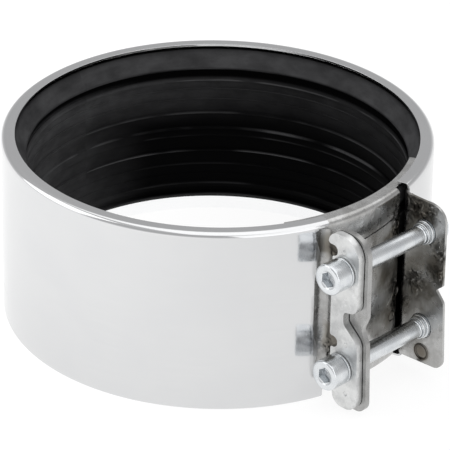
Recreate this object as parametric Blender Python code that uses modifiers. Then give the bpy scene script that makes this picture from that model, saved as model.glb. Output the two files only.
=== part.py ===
"""Two-screw stainless pipe coupling clamp with a rubber sealing sleeve, open as delivered.

Frame: origin on the pipe axis at the plane of the lower rim, +Z along the pipe axis.
The closure is on +X, both screws run parallel to Y, and their heads point to -Y.
All dimensions below are in millimetres and are scaled once, by MM.
"""

import math

import bmesh
import bpy
from mathutils import Vector

MM = 0.001

# Casing: one U-section strip bent round the pipe, open at the closure
CASING_RADIUS = 90.0
CASING_HEIGHT = 81.0
CASING_SHEET = 1.0
CASING_CORNER = 2.25
CASING_LIP_RADIUS = 84.1
CASING_START_DEG = 16.6
CASING_END_DEG = 341.5
CASING_STEPS = 88

# Sheets nested inside the casing near the closure
FIT_GAP = 0.3
FOOT_OUTER_RADIUS = CASING_RADIUS - CASING_SHEET - FIT_GAP
FOOT_SHEET = 1.2
BRIDGE_RADIUS = FOOT_OUTER_RADIUS - FOOT_SHEET - FIT_GAP
BRIDGE_SHEET = 1.0
BRIDGE_CORNER = 2.0
BRIDGE_LIP_RADIUS = 81.0
BRIDGE_BASE = CASING_SHEET + FIT_GAP
BRIDGE_START_DEG = -26.2
BRIDGE_WALL_END_DEG = 10.0
BRIDGE_TONGUE_END_DEG = 32.0
BRIDGE_TONGUE_OUTER = BRIDGE_RADIUS - BRIDGE_CORNER - 0.6
BRIDGE_TONGUE_SHEET = 1.6
CUT_OVERRUN = 4.0
BRIDGE_STEPS = 24
BRIDGE_CUT_STEPS = 12

# Rubber sleeve: outer wall, and the height and bore radius of each step of one half of its bore.
# The lead-in cones differ: the upper one reaches the rim, the lower one stops short of it.
SLEEVE_RADIUS = 85.8
SLEEVE_TOP = CASING_HEIGHT - BRIDGE_BASE - BRIDGE_SHEET - FIT_GAP
SLEEVE_BOTTOM = 6.8
SLEEVE_UPPER_MOUTH_RADIUS = 83.6
SLEEVE_LOWER_MOUTH_RADIUS = 82.8
SLEEVE_CHAMFER = 0.8
SLEEVE_STEPS = 80
SLEEVE_HALF_BORE = (
    (9.4, 79.7),
    (10.2, 81.0),
    (12.4, 81.0),
    (13.6, 79.6),
    (16.0, 79.6),
    (17.2, 80.4),
    (31.0, 80.4),
    (32.0, 79.9),
    (38.4, 80.5),
    (39.0, 79.6),
)

# Closure: distance of the screw axes from the pipe axis, and stations along Y
SCREW_X = 98.3
SCREW_HEIGHTS = {"lower": 20.7, "upper": 64.4}
CLAMP_PLATE_Y = -28.2
CLAMP_PLATE_SHEET = 3.2
RIGHT_LUG_Y = 20.5
BACKING_SHEET = 2.6

# Lugs: each is one sheet, bent up from a curved foot inside the casing; the left one is hemmed double
BEND_RADIUS = 4.0
HEM_START_X = 91.0
LUG_END_X = 116.0
LEFT_LUG_SHEET = 2.0 * FOOT_SHEET
LEFT_LUG_Y = CLAMP_PLATE_Y + CLAMP_PLATE_SHEET + FIT_GAP
BACKING_Y = RIGHT_LUG_Y + FOOT_SHEET + FIT_GAP
LEFT_FOOT_END_DEG = -34.0
RIGHT_FOOT_END_DEG = 32.0
LUG_TRIM_REACH = 70.0

# Socket cap screw M8 x 60, its washer and its press nut
SEAT_GAP = 0.2
WASHER_SHEET = 1.0
WASHER_RADIUS = 6.9
SCREW_SEAT_Y = CLAMP_PLATE_Y - SEAT_GAP - WASHER_SHEET - SEAT_GAP
SHANK_RADIUS = 4.0
SHANK_LENGTH = 60.0
SHANK_TIP_CHAMFER = 1.0
HEAD_RADIUS = 6.5
HEAD_LENGTH = 8.0
HEAD_CHAMFER = 0.7
SOCKET_ACROSS_FLATS = 6.0
SOCKET_DEPTH = 4.0
CLEARANCE_HOLE_RADIUS = 4.5
NUT_BORE_RADIUS = 4.3
NUT_NECK_RADIUS = 5.2
NUT_NOSE_RADIUS = 5.0
NUT_NOSE_PROUD = 3.2
NUT_FLANGE_RADIUS = 6.0
NUT_FLANGE_LENGTH = 3.0
NUT_CHAMFER = 0.4
NUT_HOLE_RADIUS = NUT_NECK_RADIUS + FIT_GAP
ROUND_STEPS = 32

# Outlines in the X-Z plane: corner X, corner Z, corner radius, anticlockwise from the inner foot
CLAMP_PLATE_OUTLINE = (
    (92.8, 16.0, 8.0),
    (95.4, 3.0, 5.0),
    (107.9, 3.0, 6.0),
    (107.0, 34.6, 6.0),
    (99.2, 41.4, 3.0),
    (99.2, 46.6, 2.0),
    (106.4, 48.2, 4.0),
    (106.4, 80.2, 9.0),
    (90.0, 80.2, 5.0),
    (90.0, 74.6, 1.5),
    (95.0, 74.6, 2.2),
    (95.0, 69.9, 2.2),
    (92.3, 69.9, 1.0),
    (92.3, 33.8, 1.0),
    (96.4, 33.8, 2.3),
    (96.4, 28.9, 2.3),
    (92.8, 28.9, 1.0),
)
LEFT_LUG_OUTLINE = (
    (64.0, 15.0, 0.0),
    (92.8, 15.0, 1.0),
    (95.6, 2.0, 5.0),
    (109.8, 2.0, 5.0),
    (108.8, 33.6, 4.0),
    (105.8, 39.6, 3.0),
    (108.4, 45.6, 4.0),
    (108.2, 80.4, 9.0),
    (91.8, 80.4, 2.0),
    (90.8, 78.0, 0.0),
    (64.0, 78.0, 0.0),
)
RIGHT_LUG_OUTLINE = (
    (64.0, 1.2, 0.0),
    (110.7, 4.3, 5.0),
    (109.4, 35.4, 3.0),
    (105.2, 40.2, 0.8),
    (108.6, 43.0, 1.2),
    (108.6, 77.9, 7.0),
    (64.0, 77.9, 0.0),
)
BACKING_OUTLINE = (
    (92.6, 6.5, 6.0),
    (105.8, 6.5, 5.0),
    (105.8, 33.6, 5.0),
    (101.0, 40.4, 2.0),
    (104.8, 42.6, 1.2),
    (104.8, 76.2, 7.0),
    (92.6, 76.2, 4.0),
)

# Base colour, metallic value and roughness of each finish
FINISHES = {
    "polished_stainless": ((0.78, 0.78, 0.79), 1.0, 0.18),
    "dull_stainless": ((0.48, 0.47, 0.45), 1.0, 0.42),
    "galvanised_steel": ((0.70, 0.71, 0.70), 1.0, 0.38),
    "bright_zinc": ((0.76, 0.78, 0.79), 1.0, 0.24),
    "black_rubber": ((0.020, 0.020, 0.022), 0.0, 0.62),
}


def clear_scene():
    for obj in list(bpy.data.objects):
        bpy.data.objects.remove(obj, do_unlink=True)


def new_collection(name):
    collection = bpy.data.collections.new(name)
    bpy.context.scene.collection.children.link(collection)
    return collection


def finish_of(node, finish):
    """A material of the node's own, with the finish's colour, metallic value and roughness."""
    colour, metallic, roughness = FINISHES[finish]
    material = bpy.data.materials.new(f"{node}_{finish}")
    material.use_nodes = True
    shader = material.node_tree.nodes["Principled BSDF"]
    shader.inputs["Base Color"].default_value = (*colour, 1.0)
    shader.inputs["Metallic"].default_value = metallic
    shader.inputs["Roughness"].default_value = roughness
    return material


def add_object(name, mesh, collection):
    obj = bpy.data.objects.new(name, mesh)
    collection.objects.link(obj)
    return obj


def shade(obj, angle_deg=35.0):
    obj.data.shade_smooth()
    obj.data.set_sharp_from_angle(angle=math.radians(angle_deg))


def line_mesh(name, points, closed):
    """A mesh of edges through (radius, height) points in the X-Z plane."""
    mesh = bmesh.new()
    verts = [mesh.verts.new((radius * MM, 0.0, height * MM)) for radius, height in points]
    for first, second in zip(verts, verts[1:]):
        mesh.edges.new((first, second))
    if closed:
        mesh.edges.new((verts[-1], verts[0]))
    data = bpy.data.meshes.new(name)
    mesh.to_mesh(data)
    mesh.free()
    return data


def turned(name, points, collection, closed=False, start_deg=0.0, sweep_deg=360.0, steps=ROUND_STEPS):
    """A profile swept about local Z. It runs down its outer side, top to bottom."""
    obj = add_object(name, line_mesh(name, points, closed), collection)
    screw = obj.modifiers.new("Screw", "SCREW")
    screw.angle = math.radians(sweep_deg)
    screw.steps = steps
    screw.render_steps = steps
    screw.use_merge_vertices = sweep_deg == 360.0
    screw.merge_threshold = 0.00001
    screw.use_smooth_shade = True
    obj.rotation_euler.z = math.radians(start_deg)
    return obj


def corner_arc(centre, radius, from_deg, to_deg, count=4):
    """Points on an arc, both ends included."""
    angles = [math.radians(from_deg + (to_deg - from_deg) * i / count) for i in range(count + 1)]
    return [(centre[0] + radius * math.cos(a), centre[1] + radius * math.sin(a)) for a in angles]


def channel_profile(radius, lip_radius, base, top, corner):
    """Outer line of a U section that opens towards the axis, from its top lip to its bottom lip."""
    inner = radius - corner
    return (
        [(lip_radius, top)]
        + corner_arc((inner, top - corner), corner, 90.0, 0.0)
        + corner_arc((inner, base + corner), corner, 0.0, -90.0)
        + [(lip_radius, base)]
    )


def add_thickness(obj, thickness):
    """Sheet thickness inwards from the modelled surface."""
    solidify = obj.modifiers.new("Sheet", "SOLIDIFY")
    solidify.thickness = thickness * MM
    solidify.offset = -1.0
    solidify.use_even_offset = True


def rounded_outline(corners):
    """Points of a polygon whose corners (x, z, radius) are rounded by arcs."""
    points = []
    for index, (x, z, radius) in enumerate(corners):
        corner = Vector((x, z))
        if radius == 0.0:
            points.append(corner)
            continue
        before = (Vector(corners[index - 1][:2]) - corner).normalized()
        after = (Vector(corners[(index + 1) % len(corners)][:2]) - corner).normalized()
        half = before.angle(after) / 2.0
        centre = corner + (before + after).normalized() * (radius / math.sin(half))
        start = corner + before * (radius / math.tan(half)) - centre
        turn = start.angle_signed(corner + after * (radius / math.tan(half)) - centre)
        count = max(2, round(abs(math.degrees(turn)) / 18.0))
        for step in range(count + 1):
            angle = -turn * step / count
            cos, sin = math.cos(angle), math.sin(angle)
            points.append(centre + Vector((start.x * cos - start.y * sin, start.x * sin + start.y * cos)))
    return points


def extruded(name, points, thickness, location, tilt_x, collection):
    """A flat outline of (x, y) points, extruded along its local Z about its own plane."""
    curve = bpy.data.curves.new(name, "CURVE")
    curve.dimensions = "2D"
    curve.fill_mode = "BOTH"
    curve.extrude = thickness * MM / 2.0
    spline = curve.splines.new("POLY")
    spline.points.add(len(points) - 1)
    for target, (x, y) in zip(spline.points, points):
        target.co = (x * MM, y * MM, 0.0, 1.0)
    spline.use_cyclic_u = True
    outline = add_object(name + "_outline", curve, collection)
    outline.rotation_euler.x = tilt_x
    outline.location = Vector(location) * MM
    bpy.context.view_layer.update()
    evaluated = outline.evaluated_get(bpy.context.evaluated_depsgraph_get())
    mesh = bpy.data.meshes.new_from_object(evaluated)
    welded = bmesh.new()
    welded.from_mesh(mesh)
    bmesh.ops.remove_doubles(welded, verts=welded.verts, dist=0.000001)
    bmesh.ops.recalc_face_normals(welded, faces=welded.faces)
    welded.to_mesh(mesh)
    welded.free()
    mesh.name = name
    obj = add_object(name, mesh, collection)
    obj.matrix_world = outline.matrix_world.copy()
    bpy.data.objects.remove(outline, do_unlink=True)
    return obj


def plate(name, corners, near_y, thickness, collection):
    """A flat plate: an X-Z outline that is extruded along Y from near_y."""
    middle = (0.0, near_y + thickness / 2.0, 0.0)
    return extruded(name, rounded_outline(corners), thickness, middle, math.pi / 2.0, collection)


def boolean(obj, other, operation):
    modifier = obj.modifiers.new(operation.title(), "BOOLEAN")
    modifier.operation = operation
    modifier.solver = "EXACT"
    modifier.object = other


def hide_helper(obj):
    obj.hide_render = True
    obj.display_type = "WIRE"


def round_cutter(name, radius, height_z, near_y, far_y, cutters):
    """A cylinder along Y that overruns both stations."""
    length = far_y - near_y + CUT_OVERRUN
    bpy.ops.mesh.primitive_cylinder_add(
        vertices=ROUND_STEPS,
        radius=radius * MM,
        depth=length * MM,
        location=(SCREW_X * MM, (near_y + far_y) / 2.0 * MM, height_z * MM),
        rotation=(math.pi / 2.0, 0.0, 0.0),
    )
    cutter = bpy.context.object
    cutter.name = name
    for owner in list(cutter.users_collection):
        owner.objects.unlink(cutter)
    cutters.objects.link(cutter)
    hide_helper(cutter)
    return cutter


def screw_holes(obj, radius, near_y, thickness, cutters):
    for side, height_z in SCREW_HEIGHTS.items():
        name = f"cut_{side}_{obj.name}"
        boolean(obj, round_cutter(name, radius, height_z, near_y, near_y + thickness, cutters), "DIFFERENCE")


def make_casing(parts):
    points = channel_profile(CASING_RADIUS, CASING_LIP_RADIUS, 0.0, CASING_HEIGHT, CASING_CORNER)
    sweep = CASING_END_DEG - CASING_START_DEG
    casing = turned("casing_band", points, parts, False, CASING_START_DEG, sweep, CASING_STEPS)
    add_thickness(casing, CASING_SHEET)
    casing.data.materials.append(finish_of("casing_band", "polished_stainless"))


def make_bridge(parts, cutters):
    """The gap cover: a U section whose wall stops at the slot, while its lips reach on as tongues."""
    top = CASING_HEIGHT - BRIDGE_BASE
    points = channel_profile(BRIDGE_RADIUS, BRIDGE_LIP_RADIUS, BRIDGE_BASE, top, BRIDGE_CORNER)
    sweep = BRIDGE_TONGUE_END_DEG - BRIDGE_START_DEG
    bridge = turned("bridging_plate", points, parts, False, BRIDGE_START_DEG, sweep, BRIDGE_STEPS)
    add_thickness(bridge, BRIDGE_SHEET)
    past = BRIDGE_RADIUS + CUT_OVERRUN
    outer_cut = [(past, -CUT_OVERRUN), (BRIDGE_TONGUE_OUTER, -CUT_OVERRUN)]
    outer_cut = [(past, CASING_HEIGHT)] + outer_cut + [(BRIDGE_TONGUE_OUTER, CASING_HEIGHT)]
    inside = BRIDGE_LIP_RADIUS - CUT_OVERRUN
    low = BRIDGE_BASE + BRIDGE_TONGUE_SHEET
    high = top - BRIDGE_TONGUE_SHEET
    inner_cut = [(past, high), (past, low), (inside, low), (inside, high)]
    for name, ring in (("cut_bridge_slot", outer_cut), ("cut_bridge_wall", inner_cut)):
        sweep = BRIDGE_TONGUE_END_DEG - BRIDGE_WALL_END_DEG + CUT_OVERRUN
        cutter = turned(name, ring, cutters, True, BRIDGE_WALL_END_DEG, sweep, BRIDGE_CUT_STEPS)
        close_ends(cutter)
        hide_helper(cutter)
        boolean(bridge, cutter, "DIFFERENCE")
    bridge.data.materials.append(finish_of("bridging_plate", "dull_stainless"))


def close_ends(obj):
    """Applies a part-turn Screw and fills its two end faces."""
    bpy.context.view_layer.update()
    evaluated = obj.evaluated_get(bpy.context.evaluated_depsgraph_get())
    mesh = bpy.data.meshes.new_from_object(evaluated)
    solid = bmesh.new()
    solid.from_mesh(mesh)
    bmesh.ops.holes_fill(solid, edges=[edge for edge in solid.edges if edge.is_boundary])
    bmesh.ops.recalc_face_normals(solid, faces=solid.faces)
    solid.to_mesh(mesh)
    solid.free()
    obj.modifiers.clear()
    obj.data = mesh


def bent_section(side, bend_y, hemmed, foot_end_deg):
    """Section of a lug in the X-Y plane: a foot inside the casing, a bend, and an upright.

    side is -1 for the lug at -Y and 1 for the other. bend_y is the distance along that side of the
    concave face of the bend. A hemmed upright has a second layer, on the side of the gap.
    """
    outer = FOOT_OUTER_RADIUS
    inner = outer - FOOT_SHEET
    centre_y = bend_y + BEND_RADIUS
    reach = outer + BEND_RADIUS
    foot_deg = math.degrees(math.asin(centre_y / reach))
    centre = (reach * math.cos(math.radians(foot_deg)), centre_y)
    near_y = bend_y - FOOT_SHEET
    if hemmed:
        hem_y = near_y - FOOT_SHEET
        upright = [(LUG_END_X, bend_y), (LUG_END_X, hem_y), (HEM_START_X, hem_y), (HEM_START_X, near_y)]
    else:
        upright = [(LUG_END_X, bend_y), (LUG_END_X, near_y)]
    points = (
        corner_arc((0.0, 0.0), outer, foot_end_deg, foot_deg)
        + corner_arc(centre, BEND_RADIUS, foot_deg + 180.0, 270.0)[1:]
        + upright
        + corner_arc(centre, BEND_RADIUS + FOOT_SHEET, 270.0, foot_deg + 180.0)
        + corner_arc((0.0, 0.0), inner, foot_deg, foot_end_deg)[1:]
    )
    return [(x, side * y) for x, y in points]


def make_lug(name, section, outline, near_y, thickness, hole_radius, parts, cutters):
    """A lug: its bent section along Z, trimmed to its outline, with holes for the two screws."""
    middle = (0.0, 0.0, CASING_HEIGHT / 2.0)
    lug = extruded(name, section, CASING_HEIGHT + CUT_OVERRUN, middle, 0.0, parts)
    trim_y = min(0.0, math.copysign(LUG_TRIM_REACH, near_y))
    trim = plate(f"trim_{name}", outline, trim_y, LUG_TRIM_REACH, cutters)
    hide_helper(trim)
    boolean(lug, trim, "INTERSECT")
    screw_holes(lug, hole_radius, near_y, thickness, cutters)
    lug.data.materials.append(finish_of(name, "dull_stainless"))


def make_sleeve(parts):
    """A ring with lead-in cones, sealing lips, soft ribs and a centre stop."""
    outer = [
        (SLEEVE_UPPER_MOUTH_RADIUS, SLEEVE_TOP),
        (SLEEVE_RADIUS - SLEEVE_CHAMFER, SLEEVE_TOP),
        (SLEEVE_RADIUS, SLEEVE_TOP - SLEEVE_CHAMFER),
        (SLEEVE_RADIUS, SLEEVE_BOTTOM + SLEEVE_CHAMFER),
        (SLEEVE_RADIUS - SLEEVE_CHAMFER, SLEEVE_BOTTOM),
        (SLEEVE_LOWER_MOUTH_RADIUS, SLEEVE_BOTTOM),
    ]
    lower = [(radius, height) for height, radius in SLEEVE_HALF_BORE]
    upper = [(radius, CASING_HEIGHT - height) for height, radius in reversed(SLEEVE_HALF_BORE)]
    sleeve = turned("sealing_sleeve", outer + lower + upper, parts, True, steps=SLEEVE_STEPS)
    sleeve.data.materials.append(finish_of("sealing_sleeve", "black_rubber"))


def stand_along_y(obj, side, station_y):
    """Puts a turned piece on a screw axis, with its local +Z towards the screw heads."""
    obj.rotation_euler = (math.pi / 2.0, 0.0, 0.0)
    obj.location = (SCREW_X * MM, station_y * MM, SCREW_HEIGHTS[side] * MM)


def make_screw(side, parts, cutters):
    """A socket cap screw, its origin under its head on its axis."""
    name = f"{side}_screw"
    profile = [
        (0.0, HEAD_LENGTH),
        (HEAD_RADIUS - HEAD_CHAMFER, HEAD_LENGTH),
        (HEAD_RADIUS, HEAD_LENGTH - HEAD_CHAMFER),
        (HEAD_RADIUS, 0.0),
        (SHANK_RADIUS, 0.0),
        (SHANK_RADIUS, SHANK_TIP_CHAMFER - SHANK_LENGTH),
        (SHANK_RADIUS - SHANK_TIP_CHAMFER, -SHANK_LENGTH),
        (0.0, -SHANK_LENGTH),
    ]
    screw = turned(name, profile, parts)
    stand_along_y(screw, side, SCREW_SEAT_Y)
    bpy.ops.mesh.primitive_cylinder_add(
        vertices=6,
        radius=SOCKET_ACROSS_FLATS / math.sqrt(3.0) * MM,
        depth=2.0 * SOCKET_DEPTH * MM,
        location=(SCREW_X * MM, (SCREW_SEAT_Y - HEAD_LENGTH) * MM, SCREW_HEIGHTS[side] * MM),
        rotation=(math.pi / 2.0, 0.0, 0.0),
    )
    socket = bpy.context.object
    socket.name = f"cut_{side}_socket"
    for owner in list(socket.users_collection):
        owner.objects.unlink(socket)
    cutters.objects.link(socket)
    hide_helper(socket)
    boolean(screw, socket, "DIFFERENCE")
    screw.data.materials.append(finish_of(name, "bright_zinc"))


def make_washer(side, parts):
    name = f"{side}_washer"
    profile = [
        (WASHER_RADIUS, WASHER_SHEET),
        (WASHER_RADIUS, 0.0),
        (SHANK_RADIUS + FIT_GAP, 0.0),
        (SHANK_RADIUS + FIT_GAP, WASHER_SHEET),
    ]
    washer = turned(name, profile, parts, True)
    stand_along_y(washer, side, CLAMP_PLATE_Y - SEAT_GAP)
    washer.data.materials.append(finish_of(name, "bright_zinc"))


def make_press_nut(side, parts):
    """A threaded insert: a flange behind the backing plate, a neck through both sheets and a nose."""
    name = f"{side}_press_nut"
    flange_y = BACKING_Y + BACKING_SHEET + SEAT_GAP
    neck = flange_y - RIGHT_LUG_Y
    nose = neck + NUT_NOSE_PROUD
    profile = [
        (NUT_NOSE_RADIUS - NUT_CHAMFER, nose),
        (NUT_NOSE_RADIUS, nose - NUT_CHAMFER),
        (NUT_NOSE_RADIUS, neck),
        (NUT_NECK_RADIUS, neck),
        (NUT_NECK_RADIUS, 0.0),
        (NUT_FLANGE_RADIUS, 0.0),
        (NUT_FLANGE_RADIUS, NUT_CHAMFER - NUT_FLANGE_LENGTH),
        (NUT_FLANGE_RADIUS - NUT_CHAMFER, -NUT_FLANGE_LENGTH),
        (NUT_BORE_RADIUS, -NUT_FLANGE_LENGTH),
        (NUT_BORE_RADIUS, nose),
    ]
    nut = turned(name, profile, parts, True)
    stand_along_y(nut, side, flange_y)
    nut.data.materials.append(finish_of(name, "bright_zinc"))


def main():
    clear_scene()
    parts = new_collection("pipe_repair_clamp")
    cutters = new_collection("cutters")
    make_casing(parts)
    make_bridge(parts, cutters)
    make_sleeve(parts)
    left_section = bent_section(-1.0, -LEFT_LUG_Y, True, -LEFT_FOOT_END_DEG)
    left_lug = ("left_lug_bracket", left_section, LEFT_LUG_OUTLINE, LEFT_LUG_Y, LEFT_LUG_SHEET)
    make_lug(*left_lug, CLEARANCE_HOLE_RADIUS, parts, cutters)
    right_section = bent_section(1.0, RIGHT_LUG_Y + FOOT_SHEET, False, RIGHT_FOOT_END_DEG)
    right_lug = ("right_lug_bracket", right_section, RIGHT_LUG_OUTLINE, RIGHT_LUG_Y, FOOT_SHEET)
    make_lug(*right_lug, NUT_HOLE_RADIUS, parts, cutters)
    clamp_plate = plate("left_clamp_plate", CLAMP_PLATE_OUTLINE, CLAMP_PLATE_Y, CLAMP_PLATE_SHEET, parts)
    screw_holes(clamp_plate, CLEARANCE_HOLE_RADIUS, CLAMP_PLATE_Y, CLAMP_PLATE_SHEET, cutters)
    clamp_plate.data.materials.append(finish_of("left_clamp_plate", "galvanised_steel"))
    backing = plate("right_backing_plate", BACKING_OUTLINE, BACKING_Y, BACKING_SHEET, parts)
    screw_holes(backing, NUT_HOLE_RADIUS, BACKING_Y, BACKING_SHEET, cutters)
    backing.data.materials.append(finish_of("right_backing_plate", "galvanised_steel"))
    for side in SCREW_HEIGHTS:
        make_screw(side, parts, cutters)
        make_washer(side, parts)
        make_press_nut(side, parts)
    for obj in parts.objects:
        shade(obj)


main()
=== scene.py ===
"""Looks of the pipe coupling clamp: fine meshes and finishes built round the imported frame.

Lengths of the clamp are in millimetres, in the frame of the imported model: the pipe axis is Z, the
closure is at +X and both screws lie along Y with their heads at -Y. The studio is in metres.
"""

import math

import bmesh
import bpy
from mathutils import Matrix, Vector


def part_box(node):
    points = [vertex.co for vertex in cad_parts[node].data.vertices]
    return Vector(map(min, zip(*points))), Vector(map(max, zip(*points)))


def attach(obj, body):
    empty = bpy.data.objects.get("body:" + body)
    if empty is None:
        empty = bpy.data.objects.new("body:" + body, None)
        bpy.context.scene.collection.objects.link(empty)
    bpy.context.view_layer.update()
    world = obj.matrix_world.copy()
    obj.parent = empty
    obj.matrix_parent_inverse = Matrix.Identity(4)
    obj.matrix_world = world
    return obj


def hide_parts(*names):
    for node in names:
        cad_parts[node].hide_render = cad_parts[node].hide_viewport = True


MM = 0.001

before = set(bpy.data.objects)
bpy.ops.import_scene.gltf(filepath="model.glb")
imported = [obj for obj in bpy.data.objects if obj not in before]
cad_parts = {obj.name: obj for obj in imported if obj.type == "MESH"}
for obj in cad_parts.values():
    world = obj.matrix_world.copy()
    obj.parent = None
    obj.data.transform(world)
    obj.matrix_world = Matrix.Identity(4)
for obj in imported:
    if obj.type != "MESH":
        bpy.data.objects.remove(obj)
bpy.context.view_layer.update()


def span(node):
    """Lowest and highest corner of a node, in millimetres."""
    low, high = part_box(node)
    return low / MM, high / MM


# ---------------------------------------------------------------- sizes read from the frame
CASING_LOW, CASING_HIGH = span("casing_band")
HEIGHT = CASING_HIGH.z
CASING_RADIUS = min(-CASING_LOW.x, -CASING_LOW.y)
BRIDGE_BASE = span("bridging_plate")[0].z
SLEEVE_LOW, SLEEVE_HIGH = span("sealing_sleeve")
LEFT_PLATE_LOW, LEFT_PLATE_HIGH = span("left_clamp_plate")
BACKING_LOW, BACKING_HIGH = span("right_backing_plate")
SIDES = ("lower", "upper")


def axis_of(side):
    """X and Z of a screw's axis."""
    low, high = span(f"{side}_washer")
    return (low.x + high.x) / 2.0, (low.z + high.z) / 2.0


SCREW_AXES = {side: axis_of(side) for side in SIDES}
SCREW_X = SCREW_AXES["lower"][0]
SCREW_Z = [SCREW_AXES[side][1] for side in SIDES]

# ---------------------------------------------------------------- sheet work
CASING_SHEET = 1.0
CASING_CORNER = 2.25
CASING_LIP_RADIUS = 84.1
WALL_START_DEG = 16.6
WALL_END_DEG = -19.4
RIM_START_DEG = 14.4
RIM_END_DEG = -15.6
STEP_HEIGHTS = (HEIGHT - 4.9, HEIGHT - 5.05, HEIGHT - 5.2, HEIGHT - 5.35, HEIGHT - 5.5)
LOW_STEP = (0.6, 1.2)
RIM_STEP_DEPTHS = (2.9, 1.3)
LOBE_DEG = 1.4
LOBE_REACH = 11.0
LOBE_RISE = 2.0
COLLAR_FOOT = 0.3
COLLAR_HEIGHT = 6.5
COLLAR_SHEET = 0.8
COLLAR_GAP_DEG = 1.0
FOOTLESS_HEIGHT = 15.0
FOOTLESS_BLEND = 0.2
FOOTLESS_END_DEG = -16.2

FOOT_OUTER_RADIUS = 88.7
FOOT_SHEET = 1.2
BEND_RADIUS = 4.0
HEM_START_X = 91.0
HEM_RAMP = 0.25
LEFT_LUG_GAP_Y = -22.3
RIGHT_LUG_GAP_Y = 20.5
LEFT_FOOT_END_DEG = 34.0
RIGHT_FOOT_END_DEG = 32.0

BRIDGE_RADIUS = 87.2
BRIDGE_SHEET = 1.0
BRIDGE_CORNER = 2.0
BRIDGE_LIP_RADIUS = 81.0
BRIDGE_START_DEG = -26.2
BRIDGE_TONGUE_END_DEG = 32.0
BRIDGE_WALL_END_DEG = 13.0

# Radii of the sleeve's mouths, and of the plain bore between its ribs
UPPER_MOUTH_RADIUS = 84.3
LOWER_MOUTH_RADIUS = 83.2
SLEEVE_CHAMFER = 0.8
BORE_RADIUS = 80.42
SOFT_RIB_DEPTHS = (19.5, 24.5)

# Where grey lies on the bore, talc dust and painted light together: heights between which it comes, and
# between which it fades; the cone's fade towards the rim is painted shade under the lip
CONE_DUST_AND_LIGHT = (70.8, 72.2)
CONE_RIM_SHADE = (80.2, 76.5)
FLANK_DUST_AND_LIGHT = (43.0, 62.0)
FLANK_FADE = (68.0, 66.2)
LOW_FADE = (69.0, 67.0)
# Fixed direction towards the side of the bore that gets painted light, so it stays on that side from every
# view
PAINTED_LIGHT_SIDE = (-0.715, -0.70)
RIDGE_HIGHLIGHT_REACH = 0.8

# Heights of the edges of the sleeve's lips and ribs, and how strong a painted highlight each gets
RIDGE_HIGHLIGHTS = (
    (71.5, 0.5),
    (65.8, 1.0),
    (61.5, 0.35),
    (56.5, 0.3),
    (49.8, 0.55),
    (42.3, 1.05),
    (38.7, 0.4),
    (31.2, 0.85),
    (24.5, 0.1),
    (15.2, 0.2),
    (9.5, 0.3),
)

# Rim pieces of the bridging plate: each turns over the rim and ends in a free edge on the wall
STRIP_SHEET = 0.9
STRIP_PROUD = 0.35
STRIP_START_DEG = -14.6
STRIP_END_DEG = 12.2
STRIP_EDGE_START = 16.8
STRIP_EDGE_END = 12.0
STRIP_GAP_START = 0.5
STRIP_GAP_END = 1.1
STRIP_CORNER_DEG = 2.4
STRIP_CORNER_RISE = 3.4
TONGUE_OVERLAP_DEG = 0.6
TONGUE_DROP = 0.05

# Outlines in the X-Z plane: corner X, corner Z, corner radius, anticlockwise
CLAMP_PLATE_OUTLINE = (
    (92.8, 16.0, 8.0),
    (95.4, 3.0, 5.0),
    (107.9, 3.0, 6.0),
    (107.0, 34.6, 6.0),
    (99.2, 41.4, 3.0),
    (99.2, 46.6, 2.0),
    (106.4, 48.2, 4.0),
    (106.4, 80.2, 9.0),
    (90.0, 80.2, 5.0),
    (90.0, 74.6, 1.5),
    (95.0, 74.6, 2.2),
    (95.0, 69.9, 2.2),
    (92.3, 69.9, 1.0),
    (92.3, 33.8, 1.0),
    (96.4, 33.8, 2.3),
    (96.4, 28.9, 2.3),
    (92.8, 28.9, 1.0),
)
LEFT_LUG_OUTLINE = (
    (64.0, 15.0, 0.0),
    (92.8, 15.0, 1.0),
    (95.6, 2.0, 5.0),
    (109.8, 2.0, 5.0),
    (108.8, 33.6, 4.0),
    (105.8, 39.6, 3.0),
    (108.4, 45.6, 4.0),
    (108.2, 80.4, 9.0),
    (91.8, 80.4, 2.0),
    (90.8, 78.0, 0.0),
    (64.0, 78.0, 0.0),
)
RIGHT_LUG_OUTLINE = (
    (64.0, 1.2, 0.0),
    (110.7, 4.3, 5.0),
    (109.4, 35.4, 3.0),
    (105.2, 40.2, 0.8),
    (108.6, 43.0, 1.2),
    (108.6, 77.9, 7.0),
    (64.0, 77.9, 0.0),
)
BACKING_OUTLINE = (
    (92.6, 6.5, 6.0),
    (105.8, 6.5, 5.0),
    (105.8, 33.6, 5.0),
    (101.0, 40.4, 2.0),
    (104.8, 42.6, 1.2),
    (104.8, 76.2, 7.0),
    (92.6, 76.2, 4.0),
)
PUNCH_MARKS = ((101.1, 32.4), (101.7, 10.0), (98.5, 73.3))
PUNCH_RADIUS = 1.0
CLEARANCE_RADIUS = 4.5
NUT_HOLE_RADIUS = 5.5
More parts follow.
